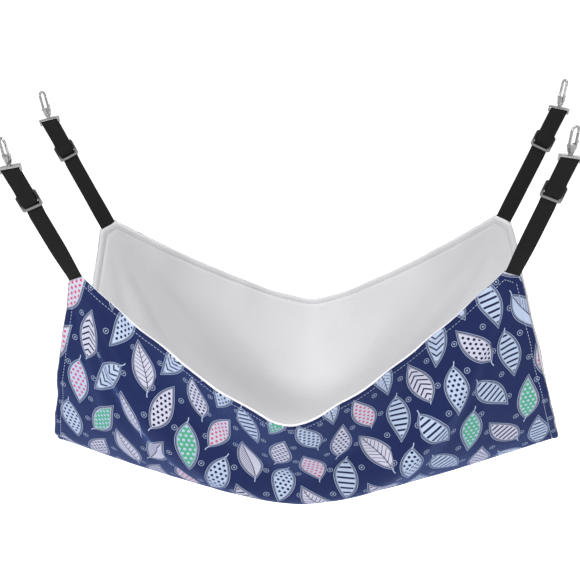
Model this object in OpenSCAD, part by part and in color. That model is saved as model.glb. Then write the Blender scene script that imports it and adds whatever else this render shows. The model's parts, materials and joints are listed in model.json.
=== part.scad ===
// Cat hammock: a two-layer cloth bed hung by four webbing straps, each with an
// adjusting slider and a swivelling snap hook. Millimetres, +Z up, +X along the
// long side of the bed, -Y the front. The origin is under the middle of the bed,
// at its lowest point.

/* [Bed] */
// Half the distance between the bed's corners along the long side
corner_x = 232; // [210:1:255]
// Half the distance between the bed's corners across the bed
corner_y = 91; // [75:1:110]
// How far the middle of a long edge stands out past the corners
edge_out = 99; // [75:1:120]
// How far the middle of a long edge hangs below the corners
edge_drop = 144; // [110:1:165]
// How far the bottom of an end of the bed stands out past the corners
end_out = 52; // [40:1:65]
// How far the bottom of a side edge hangs below the corners
side_drop = 235; // [205:1:255]
// How far the middle of the bed hangs below the corners
belly_drop = 297; // [270:1:330]
// Length that is cut from each edge at a corner
corner_cut = 17; // [13:0.5:20]
// Thickness of the printed outer cloth
outer_t = 1.2; // [0.8:0.1:1.6]
// Thickness of the plush lining
lining_t = 2.6; // [1.8:0.1:3.4]
// Gap between the two layers
layer_gap = 0.3; // [0.2:0.05:0.5]
// Height of the tension folds that run from the corners to the bottom
fold_h = 5; // [0:0.5:8]
// Half the width of a tension fold
fold_w = 30; // [24:1:40]
// Width over which the hanging ends of the bed pass into its straighter middle
draw_w = 70; // [50:1:90]

/* [Straps] */
// Width of the webbing
strap_w = 18; // [15:0.5:20]
// Thickness of the webbing
strap_t = 1.2; // [0.9:0.1:1.4]
// Length of a strap from its seam to the hook's bar
strap_l = 135; // [125:1:160]
// Lean of the front straps out past the ends of the bed, in degrees
front_lean = 23.4; // [15:0.2:30]
// Lean of the back straps out past the ends of the bed, in degrees
back_lean = 27; // [15:0.2:30]
// Lean of the straps out past the long sides of the bed, in degrees
side_lean = 7.6; // [0:0.2:12]
// Turn of each strap about its own length, in degrees
strap_turn = 20; // [0:1:30]
// Length over which a strap makes its turn, from its seam up
turn_l = 45; // [30:1:70]
// Length of the strap end that is sewn between the two layers
tail_l = 18; // [12:1:24]
// Distance from the edge of the cloth to the line where the strap bends
seam_gap = 1.2; // [1:0.1:2]

/* [Slider] */
// Distance from the seam to the middle of the slider
slider_at = 98; // [88:1:104]
// Length of the slider along the strap
slider_l = 19; // [18:0.5:22]
// Radius of the slider's outer bars and rails
slider_bar_r = 1.3; // [1.2:0.1:1.7]
// Radius of the slider's middle bar
slider_mid_r = 1.2; // [1:0.1:1.4]

/* [Hook] */
// Radius of the bar that the webbing goes round
eye_bar_r = 1.5; // [1.2:0.1:1.7]
// Width of each side of the hook's eye
eye_side = 1.3; // [1.2:0.1:2.2]
// Depth of each side of the hook's eye
eye_side_d = 3.6; // [3.5:0.1:4.2]
// Depth of the eye's top plate
eye_t = 5.6; // [5.2:0.1:6.4]
// Thickness of the eye's top plate at its ends
plate_h = 2; // [1.8:0.1:3]
// Rise of the dome on the top plate
plate_dome = 0.6; // [0.4:0.1:1.2]
// Radius of the swivel post
post_r = 1.3; // [1:0.05:1.5]
// Radius of the riveted head, sunk into the plate from below
rivet_r = 1.9; // [1.8:0.1:2.1]
// Thickness of the riveted head
rivet_h = 1.1; // [0.8:0.1:1.4]
// Length from the eye's bar to the tip of the hook
hook_l = 37; // [34:0.5:40]
// Thickness of the hook body round the gate's pivot
hook_t = 4.4; // [4:0.1:5.2]
// Thickness of the crook and its spine
crook_t = 2.6; // [2.2:0.1:3.2]
// Radius of the seat inside the hook's crook
crook_r = 4; // [3.5:0.1:4.6]
// Width of the metal round the crook
crook_wall = 2.4; // [2.2:0.1:3.2]
// Thickness of the gate lever
gate_t = 2; // [1.6:0.1:2.4]
// Radius of the gate's pin
pin_r = 0.8; // [0.6:0.05:0.9]
// Lean of the hooks back towards upright, in degrees
hook_lean = 14; // [0:0.5:16]
// Turn of the front hooks about their swivel posts, in degrees
front_hook_turn = 46; // [0:1:90]
// Turn of the back hooks about their swivel posts, in degrees
back_hook_turn = 72; // [0:1:90]

/* [Hidden] */
$fn = 48;
// Shape of the long edges and of the bottom line: 1 is a straight V, 2 a parabola
edge_power = 1.28;
belly_power = 1.6;
// Shape of the cross-section where the load draws the middle of the bed straight
middle_power = 1.75;
// Quads of cloth along half the bed and across half the bed
cloth_cols = 12;
cloth_rows = 10;
// Where a tension fold ends, as shares of half the length and half the width, and
// how softly the folds of the two ends meet in the middle
fold_end_shares = [0.2, 0.3];
fold_round = 0.2;
// Clearances: webbing to hardware, loose metal parts, turning pins, saw cuts
web_gap = 0.2;
loose_gap = 0.25;
pin_gap = 0.05;
overrun = 1;
// Steps that draw one bend of the webbing
bend_steps = 8;

corner_names = ["front_left", "front_right", "back_left", "back_right"];
corner_signs = [[-1, -1], [1, -1], [-1, 1], [1, 1]];
corner_parts = ["strap_tail", "strap_run", "strap_loop", "slider", "eye", "hook",
    "gate", "gate_pin", "gate_spring"];

// Cloth
side_x = corner_x + end_out;
corner_z = belly_drop + layer_gap / 2 + outer_t;
cut_t = acos(corner_cut / side_drop) / 90;
cut_u = 1 - corner_cut / norm([corner_x, edge_power * edge_out, edge_power * edge_drop]);
// A small step for slopes, as a share of half the bed
slope_share = 0.002;

// Rises from 0 at the ends of the bed to 1 in the middle
function bow(u, power) = 1 - pow(abs(u), power);

// The line in each quarter of the bed from its corner towards the bottom of the bed:
// above it the cloth is drawn straight, below it the cloth hangs
fold_from = [side_x, side_drop];
fold_to = [fold_end_shares[0] * side_x, fold_end_shares[1] * side_drop];
fold_way = fold_to - fold_from;
function from_corner(u, t) = [norm([u, fold_round]) * side_x, abs(t) * side_drop] - fold_from;
function drawn(u, t) =
    smooth(cross(from_corner(u, t), fold_way) / norm(fold_way) / draw_w);
function mix(low, high, share) = low + (high - low) * share;
// Rises gently from 0 to 1
function smooth(s) = let (share = max(0, min(1, s))) share * share * (3 - 2 * share);

// The sheet between the two layers, u from end to end and t from side to side
function sheet(u, t) =
    let (across = corner_y + edge_out * bow(u, edge_power),
        edge = -edge_drop * bow(u, edge_power),
        bottom = -side_drop - (belly_drop - side_drop) * bow(u, belly_power),
        out = mix(sin(90 * t), t, drawn(u, t)),
        up = mix(1 - cos(90 * t), pow(abs(t), middle_power), drawn(u, t)))
    [u * (side_x - end_out * up), across * out, corner_z + bottom + (edge - bottom) * up];

// Its upward normal, from slopes taken inside the sheet
function sheet_normal(u, t) =
    let (s = slope_share, a = min(abs(u), 1 - s) * sign(u), b = min(abs(t), 1 - s) * sign(t),
        along = sheet(a + s, b) - sheet(a - s, b),
        over = sheet(a, b + s) - sheet(a, b - s))
    cross(along, over) / norm(cross(along, over));

// Height of the folds: in each quarter of the bed a ridge on its outside that runs
// from the corner towards the bottom, and fades out at both ends
function fold(u, t) =
    let (place = from_corner(u, t),
        along = max(0, min(1, place * fold_way / (fold_way * fold_way))),
        far = norm(place - along * fold_way) / fold_w)
    far >= 1 ? 0 : -fold_h * pow(cos(90 * far), 2) * sin(180 * along);

// Widest u at a row, less where the corners are cut
function row_reach(t) = abs(t) <= cut_t ? 1 : 1 - (1 - cut_u) * (abs(t) - cut_t) / (1 - cut_t);

function cloth_point(u, t, rise) = sheet(u, t) + (rise + fold(u, t)) * sheet_normal(u, t);

half_rows = concat([for (j = [0 : cloth_rows - 1]) j / cloth_rows * cut_t], [cut_t, 1]);
row_shares = concat([for (j = [len(half_rows) - 1 : -1 : 1]) -half_rows[j]], half_rows);
col_shares = [for (i = [-cloth_cols : cloth_cols]) i / cloth_cols];

// One layer of cloth between two heights over the sheet
module cloth(low, high) {
    rows = len(row_shares);
    cols = len(col_shares);
    side = rows * cols;
    points = [for (rise = [low, high], t = row_shares, c = col_shares)
        cloth_point(c * row_reach(t), t, rise)];
    // The diagonals run from the corners to the middle
    function quad(a, b, c, d, lean) = lean ? [[a, b, c], [a, c, d]] : [[b, c, d], [b, d, a]];
    function at(i, j, top) = top * side + j * cols + i;
    top = [for (j = [0 : rows - 2], i = [0 : cols - 2])
        each quad(at(i, j, 1), at(i, j + 1, 1), at(i + 1, j + 1, 1), at(i + 1, j, 1),
            (i < cloth_cols) == (j < (rows - 1) / 2))];
    bottom = [for (j = [0 : rows - 2], i = [0 : cols - 2])
        each quad(at(i, j, 0), at(i + 1, j, 0), at(i + 1, j + 1, 0), at(i, j + 1, 0),
            (i < cloth_cols) == (j < (rows - 1) / 2))];
    rim = concat(
        [for (i = [0 : cols - 2]) each concat(
            quad(at(i, 0, 0), at(i, 0, 1), at(i + 1, 0, 1), at(i + 1, 0, 0), true),
            quad(at(i, rows - 1, 0), at(i + 1, rows - 1, 0),
                at(i + 1, rows - 1, 1), at(i, rows - 1, 1), true))],
        [for (j = [0 : rows - 2]) each concat(
            quad(at(0, j, 0), at(0, j + 1, 0), at(0, j + 1, 1), at(0, j, 1), true),
            quad(at(cols - 1, j, 0), at(cols - 1, j, 1),
                at(cols - 1, j + 1, 1), at(cols - 1, j + 1, 0), true))]);
    polyhedron(points, concat(top, bottom, rim));
}

module outer_panel() {
    color("midnightblue") cloth(-layer_gap / 2 - outer_t, -layer_gap / 2);
}

module lining_panel() {
    color("gainsboro") cloth(layer_gap / 2, layer_gap / 2 + lining_t);
}

// Places at the corners
function unit(v) = v / norm(v);
// A turned frame from its z axis and a direction for x, with its origin
function frame(x, z, origin) =
    let (ez = unit(z), ex = unit(x - (x * ez) * ez), ey = cross(ez, ex))
    [[ex[0], ey[0], ez[0], origin[0]], [ex[1], ey[1], ez[1], origin[1]],
        [ex[2], ey[2], ez[2], origin[2]], [0, 0, 0, 1]];
function cut_end(k) = sheet(corner_signs[k][0], corner_signs[k][1] * cut_t);
function cut_start(k) = sheet(corner_signs[k][0] * cut_u, corner_signs[k][1]);
function seam_middle(k) = (cut_end(k) + cut_start(k)) / 2;
function seam_line(k) = corner_signs[k][0] * unit(cut_end(k) - cut_start(k));
function strap_lean(k) = corner_signs[k][1] < 0 ? front_lean : back_lean;
function strap_way(k) = unit([corner_signs[k][0] * tan(strap_lean(k)),
    corner_signs[k][1] * tan(side_lean), 1]);
// A strap's frame at its seam: z along the strap, x across it, y to its back
function seam_frame(k) = frame(seam_line(k), strap_way(k),
    seam_middle(k) + seam_gap * strap_way(k));
// Its frame further up, turned about the strap's length
function turn_side(k) = corner_signs[k][0] * corner_signs[k][1];
function strap_frame(k) = seam_frame(k) * turn_matrix(turn_side(k) * strap_turn);
// A point inside the bed that the sewn end of the strap heads for
function tail_aim(k) = sheet(corner_signs[k][0] * (1 - (1 - cut_u) * tail_l / corner_cut),
    corner_signs[k][1] * (1 - (1 - cut_t) * tail_l / corner_cut));
function tail_frame(k) = frame(seam_line(k), seam_middle(k) - tail_aim(k), seam_middle(k));

// Webbing, drawn as its centre line in y and z
bar_pitch = slider_l / 2 - slider_bar_r;
behind_y = slider_bar_r + web_gap + strap_t / 2;
wrap_r = slider_mid_r + web_gap + strap_t / 2;
front_y = wrap_r + strap_t + 2 * web_gap;
loop_r = eye_bar_r + web_gap + strap_t / 2;
run_top_z = slider_at + slider_l / 2 + strap_t;
weave_from_z = slider_at - slider_l;
bar_low_z = strap_l - eye_bar_r;

// A smooth step from one place to the next
function ease(a, b) = [for (s = [1 : bend_steps])
    [a[0] + (b[0] - a[0]) * (1 - cos(180 * s / bend_steps)) / 2,
        a[1] + (b[1] - a[1]) * s / bend_steps]];
// Part of a circle, with angles counted from y towards z
function bend(centre, r, from, to) = [for (s = [0 : bend_steps])
    let (a = from + (to - from) * s / bend_steps) centre + r * [cos(a), sin(a)]];
// The way out of the webbing's face at a point of its centre line
function side_way(line, i) =
    let (d = unit(line[min(i + 1, len(line) - 1)] - line[max(i - 1, 0)])) [-d[1], d[0]];

// From the seam, behind the lower bar, then over the middle bar and the upper bar
run_line = concat([for (s = [0 : bend_steps]) [0, weave_from_z * s / bend_steps]],
    ease([0, weave_from_z], [behind_y, slider_at - bar_pitch]),
    ease([behind_y, slider_at - bar_pitch], [-front_y, slider_at]),
    ease([-front_y, slider_at], [-behind_y, slider_at + bar_pitch]),
    [[-behind_y, run_top_z]]);
// On from there round the hook's bar, and back down to the wrap on the middle bar
loop_line = concat([[-behind_y, run_top_z + web_gap]],
    ease([-behind_y, run_top_z + web_gap], [-loop_r, bar_low_z]),
    bend([0, strap_l], loop_r, 180, 0),
    [[loop_r, bar_low_z]],
    ease([loop_r, bar_low_z], [behind_y, slider_at + bar_pitch]),
    ease([behind_y, slider_at + bar_pitch], [wrap_r, slider_at]),
    [for (p = bend([0, slider_at], wrap_r, 0, -180)) if (p[0] < wrap_r) p]);

// A point of the webbing: turned in line with the seam at the bottom of the strap, and
// slanted in line with the hook's bar at the top
function web_point(k, x, p, z) =
    let (turn = -turn_side(k) * strap_turn * (1 - smooth(z / turn_l)),
        slant = -corner_signs[k][0] * tan(hook_lean)
            * smooth((z - run_top_z) / (bar_low_z - run_top_z)),
        place = turn_matrix(turn) * [x, p[0], p[1], 1])
    [place[0], place[1], place[2] - slant * x];

// A band of webbing about its centre line, in rows of four points
module strip(k, line) {
    last = len(line) - 1;
    points = [for (i = [0 : last], spot = [[-1, -1], [1, -1], [1, 1], [-1, 1]])
        web_point(k, spot[0] * strap_w / 2,
            line[i] + spot[1] * strap_t / 2 * side_way(line, i), line[i][1])];
    function quad(a, b, c, d) = [[a, b, c], [a, c, d]];
    sides = [for (i = [0 : last - 1], n = [0 : 3])
        each quad(4 * i + n, 4 * i + 4 + n, 4 * i + 4 + (n + 1) % 4, 4 * i + (n + 1) % 4)];
    polyhedron(points, concat(quad(0, 1, 2, 3),
        quad(4 * last + 3, 4 * last + 2, 4 * last + 1, 4 * last), sides));
}

module strap_tail(k) {
    color("black")
        multmatrix(tail_frame(k))
            translate([-strap_w / 2, -strap_t / 2, -tail_l])
                cube([strap_w, strap_t, tail_l]);
}

module strap_run(k) {
    color("black") multmatrix(strap_frame(k)) strip(k, run_line);
}

module strap_loop(k) {
    color("black") multmatrix(strap_frame(k)) strip(k, loop_line);
}

// Slider: three bars between two rails with rounded corners
rail_x = strap_w / 2 + web_gap + slider_bar_r;

module slider_bar(r, z) {
    translate([-rail_x, 0, z])
        rotate([0, 90, 0])
            cylinder(h = 2 * rail_x, r = r);
}

module slider(k) {
    color("dimgray")
        multmatrix(strap_frame(k))
            translate([0, 0, slider_at]) {
                slider_bar(slider_bar_r, bar_pitch);
                slider_bar(slider_bar_r, -bar_pitch);
                slider_bar(slider_mid_r, 0);
                for (x = [-rail_x, rail_x], z = [-bar_pitch, bar_pitch])
                    translate([x, 0, z]) sphere(slider_bar_r);
                for (x = [-rail_x, rail_x])
                    translate([x, 0, -bar_pitch])
                        cylinder(h = 2 * bar_pitch, r = slider_bar_r);
            }
}

// Hook: the frame's origin is the middle of the eye's bar, z along the swivel post
function lean_matrix(a) = [[cos(a), 0, sin(a), 0], [0, 1, 0, 0], [-sin(a), 0, cos(a), 0], [0, 0, 0, 1]];
function turn_matrix(a) = [[cos(a), -sin(a), 0, 0], [sin(a), cos(a), 0, 0], [0, 0, 1, 0], [0, 0, 0, 1]];
function lift_matrix(z) = [[1, 0, 0, 0], [0, 1, 0, 0], [0, 0, 1, z], [0, 0, 0, 1]];
function eye_frame(k) = strap_frame(k) * lift_matrix(strap_l)
    * lean_matrix(-corner_signs[k][0] * hook_lean);
function hook_turn(k) = corner_signs[k][1] < 0 ? front_hook_turn : back_hook_turn;
function hook_frame(k) = eye_frame(k) * turn_matrix(-turn_side(k) * hook_turn(k));

plate_z = loop_r + strap_t / 2 + loose_gap;
plate_top_z = plate_z + plate_h + plate_dome;
// The webbing meets the leaning bar at a slant, so the eye is wider than the webbing
eye_in_x = strap_w / 2 / cos(hook_lean) + plate_z * tan(hook_lean) + web_gap;
eye_out_x = eye_in_x + eye_side;
plate_line = concat([[-eye_out_x, plate_z], [eye_out_x, plate_z]],
    [for (s = [bend_steps : -1 : -bend_steps]) [s / bend_steps * eye_out_x,
        plate_z + plate_h + plate_dome * (1 - pow(s / bend_steps, 2))]]);

// Stands an outline in x and z up as a plate of the given thickness about y = 0
module upright(thickness) {
    rotate([90, 0, 0])
        translate([0, 0, -thickness / 2])
            linear_extrude(thickness)
                children();
}

module eye(k) {
    color("silver")
        multmatrix(eye_frame(k)) {
            translate([-eye_in_x - eye_side / 2, 0, 0])
                rotate([0, 90, 0])
                    cylinder(h = 2 * eye_in_x + eye_side, r = eye_bar_r);
            for (x = [-eye_out_x, eye_in_x])
                translate([x, -eye_side_d / 2, -eye_side_d / 2])
                    cube([eye_side, eye_side_d, eye_side_d / 2 + plate_z + plate_h / 2]);
            difference() {
                upright(eye_t) polygon(plate_line);
                translate([0, 0, plate_z - overrun]) {
                    cylinder(h = plate_h + plate_dome + 2 * overrun, r = post_r + pin_gap);
                    cylinder(h = overrun + rivet_h + loose_gap, r = rivet_r + loose_gap);
                }
            }
        }
}

// Hook body and gate, from the neck over the eye up to the crook
neck_rim = 1;
neck_h = 1.6;
nose_h = 1.6;
pivot_eye_r = 1.9;
slot_gap = 0.2;
slot_floor = 3.5;
spring_room = 1.25;
spring_r = 0.7;
tab_w = 1.8;
tab_h = 3;
neck_z = plate_top_z + loose_gap;
neck_r = post_r + neck_rim;
crook_out_r = crook_r + crook_wall;
crook_z = hook_l - crook_out_r;
nose_z = crook_z - nose_h;
pivot_x = crook_r - pin_r;
slot_z = neck_z + neck_h + slot_floor;
pivot_z = slot_z + pivot_eye_r + slot_gap;
spring_z = pivot_z + pivot_eye_r + slot_gap + spring_r;
floor_z = spring_z + spring_r + slot_gap;
slot_w = gate_t + 2 * slot_gap;
slot_x = pivot_x - pivot_eye_r - spring_room;
cheek_x = pivot_x + pivot_eye_r;
gate_in_x = crook_r + pin_gap;
gate_out_x = crook_out_r - slot_gap;
gate_l = nose_z - slot_gap - pivot_z;

module hook(k) {
    color("silver")
        multmatrix(hook_frame(k)) {
            translate([0, 0, plate_z]) cylinder(h = rivet_h, r = rivet_r);
            translate([0, 0, plate_z]) cylinder(h = neck_z - plate_z + neck_h, r = post_r);
            translate([0, 0, neck_z]) cylinder(h = neck_h + slot_floor, r = neck_r);
            difference() {
                union() {
                    upright(hook_t)
                        polygon([[-neck_r, neck_z + neck_h], [-crook_out_r, floor_z],
                            [cheek_x, floor_z], [cheek_x, pivot_z], [neck_r, neck_z + neck_h]]);
                    upright(crook_t) crook_outline();
                }
                translate([slot_x, -slot_w / 2, slot_z])
                    cube([crook_out_r - slot_x + overrun, slot_w, floor_z - slot_z + overrun]);
                pivot_hole(pin_r, hook_t + 2 * overrun);
            }
        }
}

// The spine, the arch over the crook and the nose that the gate closes on
module crook_outline() {
    translate([-crook_out_r, floor_z - crook_wall])
        square([crook_wall, crook_z - floor_z + crook_wall]);
    translate([crook_r, nose_z]) square([crook_wall, nose_h]);
    translate([0, crook_z]) difference() {
        circle(crook_out_r);
        circle(crook_r);
        translate([-crook_out_r - overrun, -crook_out_r - overrun])
            square([2 * crook_out_r + 2 * overrun, crook_out_r + overrun]);
    }
}

// A round hole or pin on the gate's pivot
module pivot_hole(r, length) {
    translate([pivot_x, length / 2, pivot_z])
        rotate([90, 0, 0])
            cylinder(h = length, r = r);
}

module gate(k) {
    color("silver")
        multmatrix(hook_frame(k))
            difference() {
                upright(gate_t) {
                    translate([pivot_x, pivot_z]) circle(pivot_eye_r);
                    // The end is an arc about the pivot, so that it passes the nose
                    intersection() {
                        translate([gate_in_x, pivot_z])
                            square([gate_out_x - gate_in_x, gate_l]);
                        translate([pivot_x, pivot_z]) circle(gate_l);
                    }
                    translate([gate_out_x, floor_z]) square([tab_w, tab_h]);
                }
                pivot_hole(pin_r + pin_gap, gate_t + 2 * overrun);
            }
}

module gate_pin(k) {
    color("silver") multmatrix(hook_frame(k)) pivot_hole(pin_r, hook_t);
}

module gate_spring(k) {
    color("gray")
        multmatrix(hook_frame(k))
            translate([slot_x, 0, spring_z])
                rotate([0, 90, 0])
                    cylinder(h = gate_in_x - slot_x - slot_gap, r = spring_r);
}

outer_panel();
lining_panel();
for (k = [0 : len(corner_names) - 1]) {
    strap_tail(k);
    strap_run(k);
    strap_loop(k);
    slider(k);
    eye(k);
    hook(k);
    gate(k);
    gate_pin(k);
    gate_spring(k);
}
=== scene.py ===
import json
import math
from contextlib import contextmanager

import bpy
import bmesh
import numpy as np
from mathutils import Matrix, Quaternion, Vector


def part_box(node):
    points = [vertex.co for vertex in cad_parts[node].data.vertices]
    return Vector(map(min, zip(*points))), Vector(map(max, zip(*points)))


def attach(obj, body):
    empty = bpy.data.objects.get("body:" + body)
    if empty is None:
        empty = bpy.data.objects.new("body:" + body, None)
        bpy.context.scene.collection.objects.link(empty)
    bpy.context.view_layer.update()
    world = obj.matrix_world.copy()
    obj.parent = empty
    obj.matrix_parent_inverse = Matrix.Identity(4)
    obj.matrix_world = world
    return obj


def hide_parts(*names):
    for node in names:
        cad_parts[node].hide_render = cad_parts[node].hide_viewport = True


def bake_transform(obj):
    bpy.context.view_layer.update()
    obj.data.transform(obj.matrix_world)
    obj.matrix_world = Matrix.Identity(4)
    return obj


# Cat hammock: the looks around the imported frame, in metres
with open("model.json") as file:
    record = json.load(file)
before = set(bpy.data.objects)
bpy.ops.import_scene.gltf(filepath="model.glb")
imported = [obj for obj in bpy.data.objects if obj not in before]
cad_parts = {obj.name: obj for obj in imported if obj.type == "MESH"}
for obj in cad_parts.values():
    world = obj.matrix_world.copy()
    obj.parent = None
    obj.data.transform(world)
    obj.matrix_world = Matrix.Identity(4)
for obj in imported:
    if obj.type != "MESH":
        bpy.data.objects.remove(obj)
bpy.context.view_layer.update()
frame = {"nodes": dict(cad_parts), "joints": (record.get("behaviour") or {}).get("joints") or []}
joints = {joint["name"]: joint for joint in frame["joints"]}
corners = ["front_left", "front_right", "back_left", "back_right"]
print("frame loaded,", len(frame["nodes"]), "nodes")


# Small tools

def activate(piece):
    bpy.ops.object.select_all(action="DESELECT")
    piece.select_set(True)
    bpy.context.view_layer.objects.active = piece


def applyModifiers(piece):
    activate(piece)
    for modifier in list(piece.modifiers):
        bpy.ops.object.modifier_apply(modifier=modifier.name)


@contextmanager
def editing(piece):
    # edit mode with all of the piece selected
    activate(piece)
    bpy.ops.object.mode_set(mode="EDIT")
    bpy.ops.mesh.select_all(action="SELECT")
    yield
    bpy.ops.object.mode_set(mode="OBJECT")


def select(piece, kind, test):
    # in edit mode, selects only the points, edges or faces that pass the test
    bpy.ops.mesh.select_mode(type=kind)
    bpy.ops.mesh.select_all(action="DESELECT")
    edit = bmesh.from_edit_mesh(piece.data)
    for item in {"VERT": edit.verts, "EDGE": edit.edges, "FACE": edit.faces}[kind]:
        item.select = test(item)
    if kind == "VERT":
        edit.select_flush(True)
        edit.select_flush(False)
    bmesh.update_edit_mesh(piece.data)


def addPrimitive(operator, **values):
    # a new object in place of what was selected before
    bpy.ops.object.select_all(action="DESELECT")
    operator(**values)
    return bpy.context.object


def newPiece(name, mesh):
    piece = bpy.data.objects.new(name, mesh)
    bpy.context.collection.objects.link(piece)
    return piece


def copyTo(piece, name, place):
    # a copy with its own mesh, moved by the matrix
    twin = newPiece(name, piece.data.copy())
    twin.data.transform(place)
    return twin


def shadeByAngle(degrees):
    bpy.ops.object.shade_smooth_by_angle(angle=math.radians(degrees))


def softenEdges(piece, width, sharp, smoothed):
    # rounds the edges sharper than one angle and shades smooth what is flatter than another
    soften = piece.modifiers.new("edges", "BEVEL")
    soften.width = width
    soften.segments = 3
    soften.limit_method = "ANGLE"
    soften.angle_limit = math.radians(sharp)
    applyModifiers(piece)
    shadeByAngle(smoothed)


def setCut(mesh, spots):
    # flat coordinates for each point of the mesh, which its material reads
    while mesh.uv_layers:
        mesh.uv_layers.remove(mesh.uv_layers[0])
    order = np.zeros(len(mesh.loops), dtype=int)
    mesh.loops.foreach_get("vertex_index", order)
    mesh.uv_layers.new(name="cut").data.foreach_set("uv", np.asarray(spots)[order].ravel())


def unit(vectors):
    return vectors / np.linalg.norm(vectors, axis=-1, keepdims=True)


def runAlong(points):
    return np.concatenate([[0], np.cumsum(np.linalg.norm(np.diff(points, axis=0), axis=1))])


def smooth(share):
    share = np.clip(share, 0, 1)
    return share * share * (3 - 2 * share)


def setMaterial(piece, material):
    piece.data.materials.clear()
    piece.data.materials.append(material)


def standIn(piece, body, node, material):
    # the piece shows in place of a node and moves with its body
    setMaterial(piece, material)
    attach(piece, body)
    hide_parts(node)


# Places at the corners, read from the joints

def axesMatrix(xAxis, zAxis, origin):
    x, z = Vector(xAxis).normalized(), Vector(zAxis).normalized()
    turn = Matrix((x, z.cross(x), z)).transposed().to_4x4()
    return Matrix.Translation(origin) @ turn


def cornerPlaces(corner):
    swing, adjust = joints["strap_swing_" + corner], joints["slider_adjust_" + corner]
    tilt, swivel = joints["hook_tilt_" + corner], joints["hook_swivel_" + corner]
    gate = joints["gate_open_" + corner]
    seamX = Vector(swing["axis"]) * (1 if corner.startswith("front") else -1)
    way, bar = Vector(adjust["axis"]).normalized(), Vector(tilt["axis"])
    hookX = Vector(swivel["axis"]).cross(Vector(gate["axis"]))
    return {
        "seam": axesMatrix(seamX, way, swing["pos_m"]),
        "strap": axesMatrix(bar - way * bar.dot(way), way, swing["pos_m"]),
        "eye": axesMatrix(tilt["axis"], swivel["axis"], tilt["pos_m"]),
        "hook": axesMatrix(hookX, swivel["axis"], tilt["pos_m"]),
    }


places = {corner: cornerPlaces(corner) for corner in corners}

# Camera at the photo's viewing angle
photoView = {
    "target": (-0.0110, 0.0, 0.2365),
    "azimuth": 5.0,
    "elevation": 19.6,
    "roll": -2.4,
    "distance": 1.77,
    "focalPixels": 1600,
    "framePixels": 580,
    "sensorMm": 36.0,
}


def makeCamera(view):
    azimuth, elevation = math.radians(view["azimuth"]), math.radians(view["elevation"])
    back = Vector((math.sin(azimuth) * math.cos(elevation),
                   -math.cos(azimuth) * math.cos(elevation), math.sin(elevation)))
    bpy.ops.object.camera_add(location=Vector(view["target"]) + back * view["distance"])
    camera = bpy.context.object
    camera.name = "photoCamera"
    camera.data.sensor_width = view["sensorMm"]
    camera.data.lens = view["focalPixels"] / view["framePixels"] * view["sensorMm"]
    turn = (-back).to_track_quat("-Z", "Y") @ Quaternion((0, 0, 1), math.radians(view["roll"]))
    camera.rotation_euler = turn.to_euler()
    bpy.context.scene.camera = camera


makeCamera(photoView)
bpy.context.scene.view_settings.view_transform = "Standard"


# Node helpers: arithmetic on sockets, so that a pattern reads as its formula

def mathMethod(operation):
    # sends a wire, and another value if there is one, through a math node
    return lambda wire, *others: wire.math(operation, *others)


class Wire:
    def __init__(self, tree, socket):
        self.tree = tree
        self.socket = socket

    def math(self, operation, *others, first=None, clamp=False):
        node = self.tree.nodes.new("ShaderNodeMath")
        node.operation = operation
        node.use_clamp = clamp
        values = [self, *others] if first is None else [first, self]
        for slot, value in zip(node.inputs, values):
            if isinstance(value, Wire):
                self.tree.links.new(value.socket, slot)
            else:
                slot.default_value = value
        return Wire(self.tree, node.outputs[0])

    __add__ = __radd__ = mathMethod("ADD")
    __sub__ = mathMethod("SUBTRACT")
    __mul__ = __rmul__ = mathMethod("MULTIPLY")
    __truediv__ = mathMethod("DIVIDE")
    __abs__ = mathMethod("ABSOLUTE")
    floor = mathMethod("FLOOR")
    sin = mathMethod("SINE")
    cos = mathMethod("COSINE")
    root = mathMethod("SQRT")
    above = mathMethod("GREATER_THAN")
    below = mathMethod("LESS_THAN")
    most = mathMethod("MAXIMUM")

    def __rsub__(self, other):
        return self.math("SUBTRACT", first=other)

    def wrap(self, pitch):
        return self - (self / pitch).floor() * pitch

    def clamp(self):
        return self.math("ADD", 0.0, clamp=True)

    def line(self, half, soft):
        return ((half - abs(self)) / soft + 0.5).clamp()

    def inside(self, soft):
        return (0.5 - self / soft).clamp()


def newNode(tree, kind, **settings):
    node = tree.nodes.new(kind)
    for name, value in settings.items():
        setattr(node, name, value)
    return node


def plug(source, slot):
    slot.id_data.links.new(source.socket if isinstance(source, Wire) else source, slot)


def newGroup(name, inputs, outputs):
    # a node group with named sockets: inputs are (name, type, value), outputs (name, type)
    tree = bpy.data.node_groups.new(name, "ShaderNodeTree")
    for label, kind, value in inputs:
        socket = tree.interface.new_socket(name=label, in_out="INPUT", socket_type=kind)
        if value is not None:
            socket.default_value = value
    for label, kind in outputs:
        tree.interface.new_socket(name=label, in_out="OUTPUT", socket_type=kind)
    return tree, tree.nodes.new("NodeGroupInput"), tree.nodes.new("NodeGroupOutput")


def splitVector(tree, source):
    node = tree.nodes.new("ShaderNodeSeparateXYZ")
    plug(source, node.inputs[0])
    return Wire(tree, node.outputs[0]), Wire(tree, node.outputs[1]), Wire(tree, node.outputs[2])


def joinVector(tree, x, y):
    node = tree.nodes.new("ShaderNodeCombineXYZ")
    plug(x, node.inputs[0])
    plug(y, node.inputs[1])
    return node.outputs[0]


def mixColor(tree, share, low, high, blend="MIX"):
    # the node's sockets for colours are numbers 6 and 7, and 2 among its outputs
    node = newNode(tree, "ShaderNodeMix", data_type="RGBA", blend_type=blend)
    for value, slot in ((share, node.inputs[0]), (low, node.inputs[6]), (high, node.inputs[7])):
        if isinstance(value, (Wire, bpy.types.NodeSocket)):
            plug(value, slot)
        else:
            slot.default_value = (*value, 1.0) if isinstance(value, tuple) else value
    return node.outputs[2]


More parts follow.
